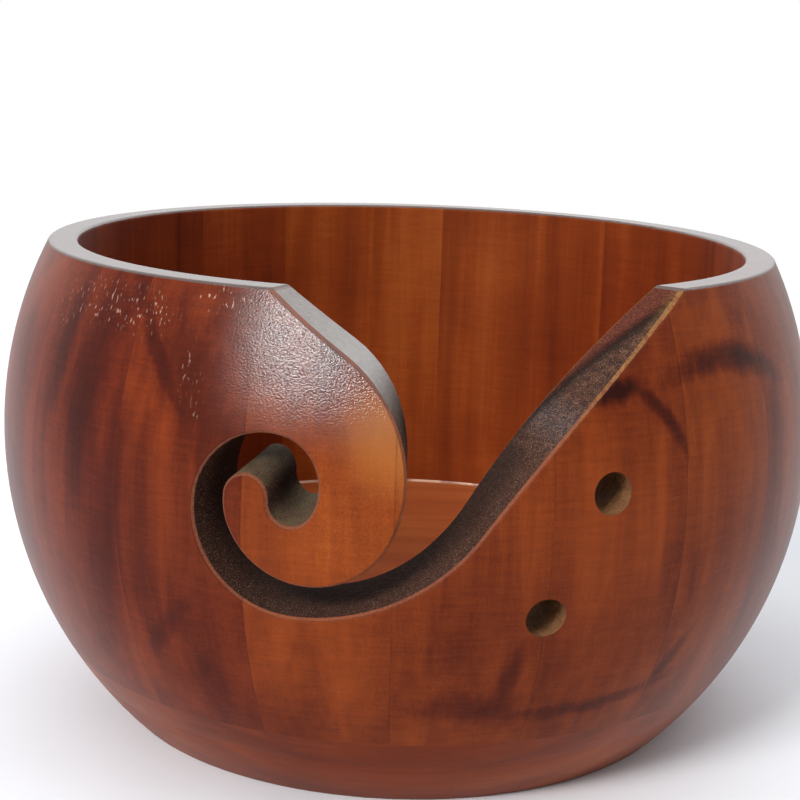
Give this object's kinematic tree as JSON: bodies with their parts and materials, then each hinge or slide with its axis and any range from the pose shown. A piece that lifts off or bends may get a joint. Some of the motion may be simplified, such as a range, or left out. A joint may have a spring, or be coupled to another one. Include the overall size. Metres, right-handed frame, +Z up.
{
  "type": "yarn bowl",
  "caption": "Round open-topped wooden yarn bowl built of glued upright staves on a base board, with a curled yarn slot cut from the rim and round holes beside it.",
  "frame": {"origin": "centre of the foot, on the surface that the bowl stands on", "axes": "+Z up along the bowl's axis, -Y towards the yarn slot, +X to the right as seen from the front"},
  "size_m": [0.16, 0.16, 0.093],
  "materials": {
    "base_wood": "gloss lacquer",
    "warm_stave": "gloss lacquer",
    "dark_stave": "gloss lacquer",
    "red_stave": "gloss lacquer"
  },
  "bodies": {
    "root": {"base_board": "base_wood", "stave_01": "dark_stave", "stave_02": "red_stave", "stave_03": "warm_stave", "stave_04": "dark_stave", "stave_05": "red_stave", "stave_06": "warm_stave", "stave_07": "dark_stave", "stave_08": "red_stave", "stave_09": "warm_stave", "stave_10": "dark_stave", "stave_11": "red_stave", "stave_12": "warm_stave", "stave_13": "dark_stave", "stave_14": "red_stave", "stave_15": "warm_stave", "stave_16": "dark_stave", "stave_17": "red_stave", "stave_18": "warm_stave", "stave_19": "dark_stave", "stave_20": "red_stave"}
  },
  "joints": []
}
